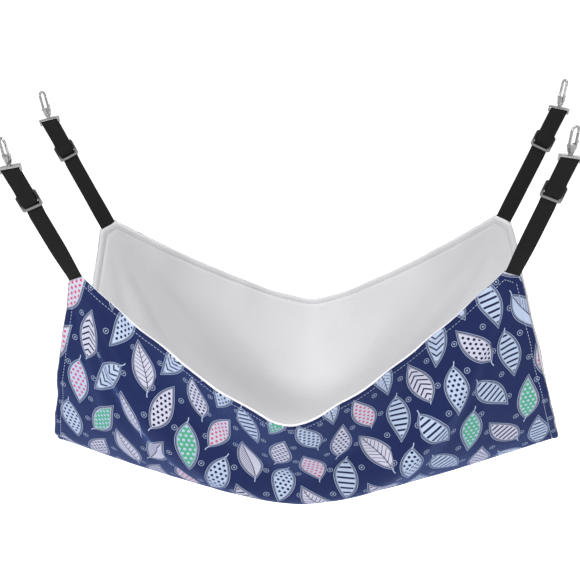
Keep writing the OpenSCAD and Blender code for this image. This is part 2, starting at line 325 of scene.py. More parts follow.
def noise(tree, vector, scale, detail=2.0, roughness=0.5):
    node = newNode(tree, "ShaderNodeTexNoise")
    node.inputs["Scale"].default_value = scale
    node.inputs["Detail"].default_value = detail
    node.inputs["Roughness"].default_value = roughness
    plug(vector, node.inputs["Vector"])
    return Wire(tree, node.outputs[0])


def placeGroup(tree, group, vector, **values):
    node = newNode(tree, "ShaderNodeGroup", node_tree=group)
    plug(vector, node.inputs[0])
    for name, value in values.items():
        node.inputs[name].default_value = value
    return node


def bump(tree, height, strength, distance):
    node = tree.nodes.new("ShaderNodeBump")
    node.inputs["Strength"].default_value = strength
    node.inputs["Distance"].default_value = distance
    plug(height, node.inputs["Height"])
    return node.outputs[0]


def newMaterial(name, **sockets):
    material = bpy.data.materials.new(name)
    material.use_nodes = True
    shader = material.node_tree.nodes["Principled BSDF"]
    for label, value in sockets.items():
        shader.inputs[label.replace("_", " ")].default_value = value
    return material, material.node_tree, shader


def coat(shader, color, height, strength, distance):
    plug(color, shader.inputs["Base Color"])
    plug(bump(shader.id_data, height, strength, distance), shader.inputs["Normal"])


def uvPlace(tree):
    return newNode(tree, "ShaderNodeUVMap", uv_map="cut").outputs[0]


def objectPlace(tree):
    return tree.nodes.new("ShaderNodeTexCoord").outputs["Object"]


# Weave: over and under threads on the cut's own coordinates, used by cloth and webbing
def makeWeaveGroup(threadLow, shadeLow):
    tree, given, result = newGroup(
        "weave", [("Place", "NodeSocketVector", None), ("Across Pitch", "NodeSocketFloat", 0.0006),
                  ("Along Pitch", "NodeSocketFloat", 0.0006)],
        [("Height", "NodeSocketFloat"), ("Shade", "NodeSocketFloat")])
    x, y, _ = splitVector(tree, given.outputs["Place"])
    u = x / Wire(tree, given.outputs["Across Pitch"])
    v = y / Wire(tree, given.outputs["Along Pitch"])
    over = ((u.floor() + v.floor()).wrap(2.0)).above(0.5)
    waveU, waveV = (abs((value * math.pi).sin()) for value in (u, v))
    warp = waveU * (threadLow + (1 - threadLow) * waveV)
    weft = waveV * (threadLow + (1 - threadLow) * waveU)
    height = over * warp + (1 - over) * weft
    plug(height, result.inputs["Height"])
    # painted shade: the colour is darker in the low parts of the weave, between the threads
    plug(shadeLow + (1 - shadeLow) * height, result.inputs["Shade"])
    return tree


weaveGroup = makeWeaveGroup(threadLow=0.55, shadeLow=0.75)

# Print of the outer cloth: tossed leaves with small rings between them, sizes in millimetres
leafPrint = {
    "cell": (35.0, 66.0),
    "shift": (3.5, 5.0),
    "halfLength": 28.0,
    "halfWidth": 11.2,
    "taper": 0.28,
    "edgeSlope": 0.85,
    "tilt": 0.28,
    "spread": 0.42,
    "bend": 1.6,
    "bendRate": 0.085,
    "halo": (1.25, 0.3),
    "contour": (0.6, 0.35),
    "margin": 1.5,
    "stalk": {"length": 7.0, "tuck": 0.5, "sway": 1.1, "swayRate": 0.35, "half": 0.5},
    "rib": 0.5,
    "veins": {"pitch": 5.6, "lean": -0.9, "half": 0.45},
    "stripes": {"pitch": 6.6, "lean": 0.0, "half": 1.2},
    "dots": {"pitch": (5.8, 5.2), "radius": 1.6},
    "hatch": {"pitch": 2.6, "half": 0.4},
    "chevron": {"pitch": 7.0, "lean": 0.8, "half": 1.1},
    "ring": {"radius": 2.9, "half": 0.32, "dot": 1.0, "clear": 2.2},
    "strength": {"halo": 0.75, "ring": 0.7, "contour": 0.8},
    "warmFrom": 0.55,
    "greenFrom": 0.45,
    "soft": 0.35,
    "mottle": 14.0,
    "ground": (0.0070, 0.0135, 0.070),
    "groundLight": (0.0100, 0.0210, 0.105),
    "pale": (0.56, 0.66, 0.86),
    "paleWarm": (0.68, 0.68, 0.82),
    "ink": (0.006, 0.010, 0.055),
    "green": (0.10, 0.46, 0.27),
    "pink": (0.68, 0.10, 0.20),
}


def makeLeafPrint(look):
    tree, given, result = newGroup("leafPrint", [("Place", "NodeSocketVector", None)],
                                   [("Color", "NodeSocketColor")])
    soft, strength = look["soft"], look["strength"]
    xMetres, yMetres, _ = splitVector(tree, given.outputs["Place"])
    x, y = xMetres * 1000.0, yMetres * 1000.0
    cellW, cellH = look["cell"]

    def bands(value, style):
        return (value.wrap(style["pitch"]) - style["pitch"] / 2).line(style["half"], soft)

    def isKind(number):
        return abs(kind - number).below(0.5)

    # half-drop cells, one leaf in each
    column = (x / cellW).floor()
    odd = column.wrap(2.0)
    dropped = y + odd * (cellH / 2)
    row = (dropped / cellH).floor()
    chance = newNode(tree, "ShaderNodeTexWhiteNoise", noise_dimensions="2D")
    plug(joinVector(tree, column, row), chance.inputs["Vector"])
    lotA, lotB, lotC = splitVector(tree, chance.outputs["Color"])
    px = x - (column + 0.5) * cellW - (lotC - 0.5) * look["shift"][0]
    py = dropped - (row + 0.5) * cellH - (lotA - 0.5) * look["shift"][1]
    angle = (odd * 2.0 - 1.0) * look["tilt"] + (lotA - 0.5) * look["spread"] + lotB.above(0.5) * math.pi
    turnCos, turnSin = angle.cos(), angle.sin()
    along = turnCos * py - turnSin * px
    across = turnCos * px + turnSin * py - look["bend"] * (along * look["bendRate"]).sin()

    # the leaf's outline, its halo line and its stalk
    share = along / look["halfLength"]
    width = (1 - share * share) * (1 - look["taper"] * share) * look["halfWidth"]
    edge = (abs(across) - width) * look["edgeSlope"]
    leaf = edge.inside(soft)
    halo = (edge - look["halo"][0]).line(look["halo"][1], soft)
    contour = (edge + look["contour"][0]).line(look["contour"][1], soft) * leaf
    stem = look["stalk"]
    below = 0 - along - look["halfLength"]
    stalk = ((across - stem["sway"] * (below * stem["swayRate"]).sin()).line(stem["half"], soft)
             * below.above(-stem["tuck"]) * below.below(stem["length"]))

    # line drawing inside the leaf, one of six kinds
    inner = (edge + look["margin"]).inside(soft)
    rib = across.line(look["rib"], soft)
    veins, stripes, chevron = (bands(along + abs(across) * look[name]["lean"], look[name])
                               for name in ("veins", "stripes", "chevron"))
    hatch = bands(along + across, look["hatch"]) * across.above(0.0)
    dotW, dotH = look["dots"]["pitch"]
    stagger = (along / dotH).floor().wrap(2.0)
    dotX = (across + stagger * (dotW / 2)).wrap(dotW) - dotW / 2
    dotY = along.wrap(dotH) - dotH / 2
    dots = ((dotX * dotX + dotY * dotY).root() - look["dots"]["radius"]).inside(soft)
    drawings = [rib.most(veins), stripes, dots, rib.most(hatch), dots, chevron]
    kind = (Wire(tree, chance.outputs["Value"]) * len(drawings)).floor()
    drawn = sum(drawing * isKind(number) for number, drawing in enumerate(drawings)) * inner

    # small rings and dots where the cells meet
    ringX = ((x / cellW + 0.5).wrap(1.0) - 0.5) * cellW
    ringY = ((y / cellH * 2.0 + 1.0).wrap(1.0) - 0.5) * (cellH / 2)
    away = (ringX * ringX + ringY * ringY).root()
    ring = (away - look["ring"]["radius"]).line(look["ring"]["half"], soft)
    ring = ring.most((away - look["ring"]["dot"]).inside(soft)) * edge.above(look["ring"]["clear"])

    # colours; the second kind of dots is green or pink
    mottle = noise(tree, given.outputs["Place"], look["mottle"], detail=3.0)
    ground = mixColor(tree, mottle, look["ground"], look["groundLight"])
    isGreen = isKind(4) * lotC.above(look["greenFrom"])
    isPink = isKind(4) * lotC.below(look["greenFrom"])
    paleFill = mixColor(tree, lotB.above(look["warmFrom"]), look["pale"], look["paleWarm"])
    fill = mixColor(tree, isGreen * inner, paleFill, look["green"])
    inkColor = mixColor(tree, isGreen, look["ink"], look["pale"])
    inkColor = mixColor(tree, isPink, inkColor, look["pink"])
    around = (halo * strength["halo"] + stalk + ring * strength["ring"]).clamp()
    pattern = mixColor(tree, around, ground, look["pale"])
    pattern = mixColor(tree, leaf, pattern, fill)
    pattern = mixColor(tree, contour * strength["contour"], pattern, look["ink"])
    pattern = mixColor(tree, drawn * leaf, pattern, inkColor)
    plug(pattern, result.inputs["Color"])
    return tree


leafGroup = makeLeafPrint(leafPrint)


def makeOuterCloth():
    material, tree, shader = newMaterial("printedCloth", Roughness=0.75, Sheen_Weight=0.30,
                                         Sheen_Roughness=0.45, Sheen_Tint=(0.20, 0.36, 1.0, 1.0),
                                         Specular_IOR_Level=0.18)
    place = uvPlace(tree)
    leaves = placeGroup(tree, leafGroup, place)
    weave = placeGroup(tree, weaveGroup, place, **{"Across Pitch": 0.0007, "Along Pitch": 0.0007})
    flecks = noise(tree, place, scale=900.0, detail=3.0)
    # painted shade between the threads, times flecks of tone that vary at random
    shade = Wire(tree, weave.outputs["Shade"]) * (0.86 + 0.28 * flecks)
    tinted = mixColor(tree, 1.0, leaves.outputs["Color"], shade, blend="MULTIPLY")
    height = Wire(tree, weave.outputs["Height"]) + noise(tree, place, scale=260.0, detail=3.0) * 0.6
    coat(shader, tinted, height, strength=0.35, distance=0.0004)
    return material


def makePlush():
    # painted highlight: the lining is painted lighter along the front edge, where it rolls over, as if lit
    # there
    material, tree, shader = newMaterial("greyPlush", Roughness=0.95, Sheen_Weight=0.35,
                                         Sheen_Roughness=0.5, Specular_IOR_Level=0.15)
    place = uvPlace(tree)
    pile = noise(tree, place, scale=700.0, detail=4.0, roughness=0.65)
    brushed = noise(tree, place, scale=9.0)
    light = (pile * 0.6 + brushed * 0.4).clamp()
    pileColor = mixColor(tree, light, (0.52, 0.52, 0.535), (0.68, 0.68, 0.695))
    edgeLightShare = newNode(tree, "ShaderNodeAttribute", attribute_name="paintedEdgeLight").outputs["Fac"]
    tufts = pile + 0.5 * noise(tree, place, scale=180.0, detail=3.0)
    color = mixColor(tree, edgeLightShare, pileColor, (0.86, 0.86, 0.92))
    coat(shader, color, tufts, strength=0.5, distance=0.0008)
    return material


def makeWebbing():
    material, tree, shader = newMaterial("blackWebbing", Roughness=0.7, Sheen_Weight=0.02,
                                         Sheen_Roughness=0.4, Specular_IOR_Level=0.15)
    place = uvPlace(tree)
    weave = placeGroup(tree, weaveGroup, place, **{"Across Pitch": 0.00095, "Along Pitch": 0.0013})
    height = Wire(tree, weave.outputs["Height"])
    # partly painted light: the raised threads are painted lighter, as if lit; the noise adds tone that
    # varies at random
    light = (height * 0.6 + noise(tree, place, scale=1500.0) * 0.5).clamp()
    black = mixColor(tree, light, (0.002, 0.002, 0.0023), (0.009, 0.009, 0.010))
    coat(shader, black, height, strength=0.8, distance=0.0004)
    return material


def makeThread(name, dark, light):
    material, tree, shader = newMaterial(name, Roughness=0.6, Sheen_Weight=0.2)
    place = objectPlace(tree)
    color = mixColor(tree, noise(tree, place, scale=900.0), dark, light)
    coat(shader, color, noise(tree, place, scale=2400.0), strength=0.4, distance=0.0002)
    return material


# Handling marks: fine scratches and rubbed patches on hard parts
def makeMarksGroup():
    tree, given, result = newGroup(
        "handlingMarks", [("Place", "NodeSocketVector", None), ("Scale", "NodeSocketFloat", 60.0)],
        [("Rubbed", "NodeSocketFloat"), ("Scratch", "NodeSocketFloat")])
    patches = newNode(tree, "ShaderNodeTexNoise")
    patches.inputs["Detail"].default_value = 4.0
    plug(given.outputs["Place"], patches.inputs["Vector"])
    plug(given.outputs["Scale"], patches.inputs["Scale"])
    stretch = newNode(tree, "ShaderNodeMapping")
    stretch.inputs["Scale"].default_value = (900.0, 900.0, 60.0)
    plug(given.outputs["Place"], stretch.inputs["Vector"])
    scratch = noise(tree, stretch.outputs[0], scale=1.0)
    plug((Wire(tree, patches.outputs[0]) * 2.0 - 0.5).clamp(), result.inputs["Rubbed"])
    plug(scratch, result.inputs["Scratch"])
    return tree


marksGroup = makeMarksGroup()


def makeHardFinish(name, dark, light, rough, **sockets):
    material, tree, shader = newMaterial(name, **sockets)
    marks = placeGroup(tree, marksGroup, objectPlace(tree), Scale=260.0)
    rubbed, scratch = Wire(tree, marks.outputs["Rubbed"]), Wire(tree, marks.outputs["Scratch"])
    plain, byRub, byScratch = rough
    plug(plain + rubbed * byRub + scratch * byScratch, shader.inputs["Roughness"])
    coat(shader, mixColor(tree, rubbed, dark, light), scratch, strength=0.08, distance=0.0001)
    return material


def paintLowReflection(material, start, stop, pale):
    # painted reflection: the slider's lower half, where the webbing runs through, is painted grey,
    # standing in for the pale floor that its lower faces reflect
    tree = material.node_tree
    base = tree.nodes["Principled BSDF"].inputs["Base Color"]
    _, along, _ = splitVector(tree, uvPlace(tree))
    share = ((start - along) / (start - stop)).clamp()
    plug(mixColor(tree, share, base.links[0].from_socket, pale), base)


outerCloth = makeOuterCloth()
greyPlush = makePlush()
blackWebbing = makeWebbing()
paleThread = makeThread("paleThread", (0.42, 0.47, 0.62), (0.62, 0.67, 0.80))
greyThread = makeThread("greyThread", (0.36, 0.36, 0.38), (0.50, 0.50, 0.52))
blackPlastic = makeHardFinish("blackPlastic", (0.010, 0.010, 0.011), (0.020, 0.020, 0.022),
                              (0.26, 0.10, 0.08), Specular_IOR_Level=0.3)
# painted reflection: the slider's lower half is painted grey
paintLowReflection(blackPlastic, start=0.0, stop=-0.0065, pale=(0.19, 0.19, 0.195))
nickel = makeHardFinish("nickelPlate", (0.20, 0.20, 0.20), (0.33, 0.33, 0.33),
                        (0.14, 0.12, 0.12), Metallic=1.0)
springSteel = makeHardFinish("springSteel", (0.30, 0.30, 0.30), (0.45, 0.45, 0.45),
                             (0.3, 0.1, 0.1), Metallic=1.0)
print("materials made")

# Bed: the cut of the cloth and the shape in which it hangs
bed = {
    "flat": (0.585, 0.545),
    "cornerX": 0.232,
    "cornerY": 0.091,
    "edgeOut": 0.099,
    "edgeDrop": 0.144,
    "endOut": 0.052,
    "sideDrop": 0.235,
    "bellyDrop": 0.297,
    "cornerCut": 0.017,
    "edgePower": 1.28,
    "edgeRound": 0.045,
    "bellyPower": 1.6,
    "middlePower": 1.75,
    "drawWidth": 0.070,
    "foldHeight": 0.005,
    "foldWidth": 0.030,
    "foldEnd": (0.2, 0.3),
    "foldRound": 0.2,
    "creases": (  # turn from the fold, start, length, half width, height; below 0 stands out
        (0.02, 0.015, 0.250, 0.0050, -0.0024),
        (-0.13, 0.020, 0.200, 0.0055, 0.0013),
        (-0.24, 0.012, 0.150, 0.0060, -0.0014),
        (0.16, 0.015, 0.180, 0.0070, 0.0016),
        (0.31, 0.012, 0.150, 0.0060, -0.0013),
        (0.50, 0.020, 0.120, 0.0070, 0.0010),
    ),
    "creaseSway": {"by": 0.004, "rate": 3.2, "phase": 5.0},
    "creaseSpread": (0.7, 0.9),
    "cornerVary": {"turn": 0.05, "height": 0.3, "lots": (2.1, 3.7)},
    "sideRipple": (0.0016, 0.078, 0.030),  # height, pitch, depth in from the edge
    "edgeRipple": (0.0009, 0.105, 0.025),
    "rippleBeat": {"share": 0.6, "rate": 3.7, "lot": 1.3},
    "calmMiddle": 0.02,
    "outerThick": 0.0012,
    "liningThick": 0.0026,
    "layerGap": 0.0003,
    "grid": (97, 91),
    "arcSteps": 400,
    "pitch": 0.005,
    "stitchInset": 0.007,
    # width of the painted highlight along the lining's front edge
    "edgeLightWidth": 0.0012,
    "hemLines": (0, 0.0004, 0.001, 0.0018, 0.0028, 0.004, 0.0052, 0.0062, 0.007, 0.0078,
                 0.0088, 0.0105, 0.013, 0.0165),
    "outerHem": {"turned": 0.0006, "fade": 0.003, "pinch": (0.5, 0.0012), "round": 0.0015,
                 "rimOut": 0.0002},
    "liningHem": {"pinch": (0.45, 0.0016), "round": 0.0022, "rimOut": 0.0014},
}
settling = {
    "frames": 30,
    "gravity": 0.1,
    "heldCorner": 1.6,
    "creaseSteps": 7,
    "amount": 1.3,
    "cap": 0.005,
    "fabric": {"quality": 8, "mass": 0.0004, "tension_stiffness": 15.0, "compression_stiffness": 15.0,
               "shear_stiffness": 5.0, "bending_stiffness": 2.0, "air_damping": 3.0,
               "vertex_group_mass": "held", "pin_stiffness": 0.2},
}
halfL, halfW = bed["flat"][0] / 2, bed["flat"][1] / 2
halfGap = bed["layerGap"] / 2
quarterSize = np.array([bed["cornerX"] + bed["endOut"], bed["sideDrop"]])
foldWay = (np.array(bed["foldEnd"]) - 1) * quarterSize
quarter = math.pi / 2


def fromCorner(u, t):
    # a place on the cloth, counted from the corner nearest to it
    return np.stack([u, np.abs(t)], -1) * quarterSize - quarterSize


def drawnShare(u, t):
    # 0 where the ends of the bed hang, 1 where the load draws the middle straight
    place = fromCorner(np.hypot(u, bed["foldRound"]), t)
    away = (place[..., 0] * foldWay[1] - place[..., 1] * foldWay[0]) / np.linalg.norm(foldWay)
    return smooth(away / bed["drawWidth"])


def sheetPoint(u, t):
    # the middle of the cloth, u from end to end and t from side to side, both -1 to 1
    edgeBow = 1 - np.hypot(u, bed["edgeRound"]) ** bed["edgePower"]
    bellyBow = 1 - np.abs(u) ** bed["bellyPower"]
    cornerZ = bed["bellyDrop"] + halfGap + bed["outerThick"]
    across = bed["cornerY"] + bed["edgeOut"] * edgeBow
    edge = -bed["edgeDrop"] * edgeBow
    bottom = -bed["sideDrop"] - (bed["bellyDrop"] - bed["sideDrop"]) * bellyBow
    drawn = drawnShare(u, t)
    out = np.sin(quarter * t) * (1 - drawn) + t * drawn
    up = (1 - np.cos(quarter * t)) * (1 - drawn) + np.abs(t) ** bed["middlePower"] * drawn
    return np.stack([u * (bed["cornerX"] + bed["endOut"] * (1 - up)), across * out,
                     cornerZ + bottom + (edge - bottom) * up], -1)


def foldHeight(u, t):
    # a ridge on the outside from each corner towards the bottom
    place = fromCorner(np.hypot(u, bed["foldRound"]), t)
    along = np.clip(place @ foldWay / (foldWay @ foldWay), 0, 1)
    far = np.linalg.norm(place - along[..., None] * foldWay, axis=-1) / bed["foldWidth"]
    ridge = np.cos(quarter * np.minimum(far, 1)) ** 2 * np.sin(math.pi * along)
    return -bed["foldHeight"] * ridge


def creaseHeight(u, t):
    # thin pulled lines that fan out from each corner, and soft ripples along the free edges
    place = fromCorner(np.abs(u), t)
    way = np.arctan2(foldWay[1], foldWay[0])
    vary, sway, beat = bed["cornerVary"], bed["creaseSway"], bed["rippleBeat"]
    lot = np.sin(vary["lots"][0] * np.sign(u) + vary["lots"][1] * np.sign(t))
    thin, wider = bed["creaseSpread"]
    total = 0 * u
    for turn, start, length, wide, height in bed["creases"]:
        angle = way + turn + vary["turn"] * lot
        along = (place[..., 0] * np.cos(angle) + place[..., 1] * np.sin(angle) - start) / length
        inside = np.clip(along, 0, 1)
        off = place[..., 1] * np.cos(angle) - place[..., 0] * np.sin(angle)
        off = off + sway["by"] * np.sin(sway["rate"] * inside + sway["phase"] * turn) * inside
        line = np.sin(math.pi * inside) * np.exp(-(off / (wide * (thin + wider * inside))) ** 2)
        total = total + height * (1 + vary["height"] * lot) * line
    for (height, pitch, depth), away, run, side in (
            (bed["sideRipple"], (1 - np.abs(u)) * quarterSize[0], t * quarterSize[1], np.sign(u)),
            (bed["edgeRipple"], (1 - np.abs(t)) * quarterSize[1], u * quarterSize[0], np.sign(t))):
        turns = math.pi * run / pitch
        wave = (np.sin(2 * turns + beat["lot"] * side)
                + beat["share"] * np.sin(beat["rate"] * turns - side))
        calm = 1 - np.exp(-(run / bed["calmMiddle"]) ** 2)
        total = total + height * wave * np.exp(-away / depth) * calm
    return total


def gridCross(points):
    return np.cross(np.gradient(points, axis=1), np.gradient(points, axis=0))


def cutShare(flatY):
    # 0 along the cloth's ends, rising to 1 over each cut corner
    return np.clip((np.abs(flatY) - halfW + bed["cornerCut"]) / bed["cornerCut"], 0, 1)


def arcShares(points):
    run = runAlong(points)
    return run / run[-1]


def hungGrid(cols, rows):
    # places on the hanging sheet that lie evenly on the flat cut, and the flat cut itself
    fine = np.linspace(0, 1, bed["arcSteps"])
    xShares, yShares = np.linspace(-1, 1, cols), np.linspace(-1, 1, rows)
    past = cutShare(yShares * halfW)
    edgeRun = np.linalg.norm([bed["cornerX"], bed["edgePower"] * bed["edgeOut"],
                              bed["edgePower"] * bed["edgeDrop"]])
    reach = 1 - past * bed["cornerCut"] / edgeRun
    alongU = arcShares(sheetPoint(fine, 0 * fine))
    u, t = np.zeros((rows, cols)), np.zeros((rows, cols))
    for i, share in enumerate(xShares):
        here = np.interp(abs(share), alongU, fine) * np.sign(share)
        alongT = arcShares(sheetPoint(np.full_like(fine, here), fine))
        t[:, i] = np.interp(np.abs(yShares), alongT, fine) * np.sign(yShares)
        u[:, i] = here * reach
    points = sheetPoint(u, t)
    height = foldHeight(u, t) + creaseHeight(u, t)
    points = points + height[..., None] * unit(gridCross(points))
    flatX = xShares[None, :] * (halfL - past[:, None] * bed["cornerCut"])
    flat = np.stack([flatX, np.broadcast_to(yShares[:, None] * halfW, flatX.shape), 0 * flatX], -1)
    return points, flat


def gridObject(points):
    # a plain grid laid on the points, and the row and column of each of its vertices
    rows, cols = points.shape[:2]
    grid = addPrimitive(bpy.ops.mesh.primitive_grid_add, x_subdivisions=cols - 1,
                        y_subdivisions=rows - 1, size=1)
    spots = np.array([vert.co for vert in grid.data.vertices])
    col = np.rint((spots[:, 0] + 0.5) * (cols - 1)).astype(int)
    row = np.rint((spots[:, 1] + 0.5) * (rows - 1)).astype(int)
    grid.data.vertices.foreach_set("co", points[row, col].ravel())
    grid.data.update()
    return grid, row, col


def blurred(field, steps):
    # the broad part of a field on the grid, without its creases
    weights = np.exp(-0.5 * (np.arange(-2 * steps, 2 * steps + 1) / steps) ** 2)
    weights = weights / weights.sum()
    for axis in (0, 1):
        pads = [(2 * steps, 2 * steps) if k == axis else (0, 0) for k in range(3)]
        padded = np.pad(field, pads, mode="reflect", reflect_type="odd")
        length = field.shape[axis]
        field = sum(w * np.take(padded, np.arange(k, k + length), axis) for k, w in enumerate(weights))
    return field


def settle(points, flat):
    # lets the flat cut buckle into its creases while it keeps near the hanging shape
    cloth, row, col = gridObject(points)
    cloth.shape_key_add(name="hung")
    flatKey = cloth.shape_key_add(name="flat", from_mix=False)
    flatKey.data.foreach_set("co", flat[row, col].ravel())
    held = cloth.vertex_groups.new(name="held")
    away = (halfL - np.abs(flat[row, col, 0])) + (halfW - np.abs(flat[row, col, 1]))
    pinned = away < bed["cornerCut"] * settling["heldCorner"]
    held.add(np.flatnonzero(~pinned).tolist(), 0.0, "REPLACE")
    held.add(np.flatnonzero(pinned).tolist(), 1.0, "REPLACE")
    hang = cloth.modifiers.new("hang", "CLOTH")
    for name, value in settling["fabric"].items():
        setattr(hang.settings, name, value)
    hang.settings.rest_shape_key = flatKey
    hang.settings.effector_weights.gravity = settling["gravity"]
    hang.collision_settings.use_collision = False
    hang.point_cache.frame_end = settling["frames"]
    for step in range(1, settling["frames"] + 1):
        bpy.context.scene.frame_set(step)
    shown = cloth.evaluated_get(bpy.context.evaluated_depsgraph_get())
    moved = np.zeros(len(row) * 3)
    shown.data.vertices.foreach_get("co", moved)
    settled = points.copy()
    settled[row, col] = moved.reshape(-1, 3)
    bpy.data.objects.remove(cloth)
    bpy.context.scene.frame_set(1)
    shift = settled - points
    shift = (blurred(shift, 1) - blurred(shift, settling["creaseSteps"])) * settling["amount"]
    size, cap = np.linalg.norm(shift, axis=-1, keepdims=True), settling["cap"]
    print("settled, largest crease %.1f mm" % (size.max() * 1000))
    return points + shift * np.tanh(size / cap) * cap / np.maximum(size, 1e-9)


def unroll(points, flat):
    # the sheet unrolled with little stretch and laid over its cut, as coordinates for the print
    sheet, row, col = gridObject(points)
    with editing(sheet):
        bpy.ops.uv.unwrap(method="MINIMUM_STRETCH", margin=0.0)
    order = np.zeros(len(sheet.data.loops), dtype=int)
    sheet.data.loops.foreach_get("vertex_index", order)
    laid = np.zeros(len(order) * 2)
    sheet.data.uv_layers.active.data.foreach_get("uv", laid)
    spread = np.zeros(points.shape)
    spread[row[order], col[order], :2] = laid.reshape(-1, 2)
    bpy.data.objects.remove(sheet)
    real, drawn = (np.linalg.norm(gridCross(grid), axis=-1).sum() for grid in (points, spread))
    spread = spread[..., :2] - spread[..., :2].mean((0, 1))
    left, _, right = np.linalg.svd(spread.reshape(-1, 2).T @ flat[..., :2].reshape(-1, 2))
    return spread @ (left @ right) * math.sqrt(real / drawn)


def cubicSample(field, gx, gy):
    # smooth values between the points of a grid, at places counted in grid steps
    field = np.pad(field, ((2, 2), (2, 2), (0, 0)), mode="reflect", reflect_type="odd")
    x0, y0 = np.floor(gx).astype(int), np.floor(gy).astype(int)
    x0, y0 = np.clip(x0, 0, field.shape[1] - 6), np.clip(y0, 0, field.shape[0] - 6)
    fx, fy = gx - x0, gy - y0

    def weights(f):
        return [-0.5 * f + f * f - 0.5 * f ** 3, 1 - 2.5 * f * f + 1.5 * f ** 3,
                0.5 * f + 2 * f * f - 1.5 * f ** 3, -0.5 * f * f + 0.5 * f ** 3]

    wx, wy = weights(fx), weights(fy)
    total = 0
    for j in range(4):
        for i in range(4):
            total = total + field[y0 + j + 1, x0 + i + 1] * (wx[i] * wy[j])[..., None]
    return total


startGrid, flatGrid = hungGrid(*bed["grid"])
sheetGrid = settle(startGrid, flatGrid)
printGrid = unroll(sheetGrid, flatGrid)


def gridPlace(flatX, flatY):
    # where a point of the cut lies on the settled grid; the columns draw in at the cut corners
    cols, rows = bed["grid"]
    xShare = flatX / (halfL - cutShare(flatY) * bed["cornerCut"])
    return (xShare + 1) / 2 * (cols - 1), (flatY / halfW + 1) / 2 * (rows - 1)


def onSheet(spots):
    # places on the middle of the hanging cloth, from places on its cut
    return cubicSample(sheetGrid, *gridPlace(spots[..., 0], spots[..., 1]))


def sheetNormals(spots, step):
    overX, overY = (onSheet(spots + side) - onSheet(spots - side) for side in ([step, 0], [0, step]))
    return unit(np.cross(overX, overY))


def edgeAway(flatX, flatY):
    # distance from the nearest edge of the cut
    overX, overY = halfL - np.abs(flatX), halfW - np.abs(flatY)
    return np.minimum(np.minimum(overX, overY), (overX + overY - bed["cornerCut"]) / math.sqrt(2))


def hemmedLines(half):
    inner = half - bed["hemLines"][-1]
    middle = np.linspace(-inner, inner, 2 * round(inner / bed["pitch"]) + 1)[1:-1]
    rim = half - np.array(bed["hemLines"])
    return np.concatenate([-rim, middle, rim[::-1]])


def hemShape(away, hem):
    # the dip that the row of stitches pulls into the cloth, and the rounded edge, as a share
    depth, width = hem["pinch"]
    dip = 1 - depth * np.exp(-((away - bed["stitchInset"]) / width) ** 2)
    return dip * np.sqrt(1 - (1 - np.clip(away / hem["round"], 0, 1)) ** 2)


def outerDepth(away):
    hem = bed["outerHem"]
    turned = hem["turned"] * (1 - np.clip((away - bed["stitchInset"]) / hem["fade"], 0, 1))
    return (bed["outerThick"] + turned) * hemShape(away, hem)


def liningHeight(away):
    return bed["liningThick"] * hemShape(away, bed["liningHem"])


lineX, lineY = np.meshgrid(hemmedLines(halfL), hemmedLines(halfW))
lineX = lineX * (1 - cutShare(lineY) * bed["cornerCut"] / halfL)
fineSheet = cubicSample(sheetGrid, *gridPlace(lineX, lineY))
finePrint = cubicSample(printGrid, *gridPlace(lineX, lineY))
fineNormals = unit(gridCross(fineSheet))
fineAway = np.maximum(edgeAway(lineX, lineY), 0)
# painted highlight: 1 along the front edge, where the lining is painted lighter
fineEdgeLight = np.exp(-((lineY + halfW) / bed["edgeLightWidth"]) ** 2)  # 1 along the front edge


def sheetShell(name, low, high, rimOut):
    # a closed sheet between two grids of points, with a rounded rim
    rows, cols = low.shape[:2]
    count = rows * cols
    index = np.arange(count).reshape(rows, cols)
    ring = np.concatenate([index[0, :-1], index[:-1, -1], index[-1, :0:-1], index[:0:-1, 0]])
    ringRow, ringCol = ring // cols, ring % cols
    inRow, inCol = np.clip(ringRow, 1, rows - 2), np.clip(ringCol, 1, cols - 2)
    middle = (low + high) / 2
    outward = unit(middle[ringRow, ringCol] - middle[inRow, inCol])
    rim = middle[ringRow, ringCol] + outward * rimOut
    verts = np.concatenate([low.reshape(-1, 3), high.reshape(-1, 3), rim])
    quads = np.stack([index[:-1, :-1], index[:-1, 1:], index[1:, 1:], index[1:, :-1]], -1)
    quads = quads.reshape(-1, 4)
    after = np.roll(ring, -1)
    here = 2 * count + np.arange(len(ring))
    there = np.roll(here, -1)
    faces = np.concatenate([quads[:, ::-1], quads + count, np.stack([ring, after, there, here], -1),
                            np.stack([here, there, after + count, ring + count], -1)])
    mesh = bpy.data.meshes.new(name)
    mesh.from_pydata(verts.tolist(), [], faces.tolist())
    cut, edgeLightShare = finePrint.reshape(-1, 2), fineEdgeLight.ravel()
    setCut(mesh, np.concatenate([cut, cut, cut[ring]]))
    # painted highlight along the front edge, read by the lining's colour
    mark = mesh.attributes.new("paintedEdgeLight", "FLOAT", "POINT")
    mark.data.foreach_set("value", np.concatenate([edgeLightShare, edgeLightShare, edgeLightShare[ring]]))
    mesh.shade_smooth()
    return newPiece(name, mesh)


outerLow = fineSheet - (halfGap + outerDepth(fineAway))[..., None] * fineNormals
outerPanel = sheetShell("outer_cloth", outerLow, fineSheet - halfGap * fineNormals,
                        bed["outerHem"]["rimOut"])
liningHigh = fineSheet + (halfGap + liningHeight(fineAway))[..., None] * fineNormals
liningPanel = sheetShell("plush_lining", fineSheet + halfGap * fineNormals, liningHigh,
                         bed["liningHem"]["rimOut"])
standIn(outerPanel, "bed", "outer_panel", outerCloth)
standIn(liningPanel, "bed", "lining_panel", greyPlush)
print("bed sheets made")

# Topstitching round the bed, one row of thread on each side of the cloth
stitching = {
    "length": 0.0030,
    "gap": 0.0009,
    "radius": 0.00032,
    "sides": 6,
    "rings": (  # share of the stitch, thickness and rise, both in radii
        (0.0, 0.3, -0.5), (0.2, 0.9, 0.25), (0.5, 1.0, 0.5), (0.8, 0.9, 0.25), (1.0, 0.3, -0.5)),
    "step": 0.0006,
}


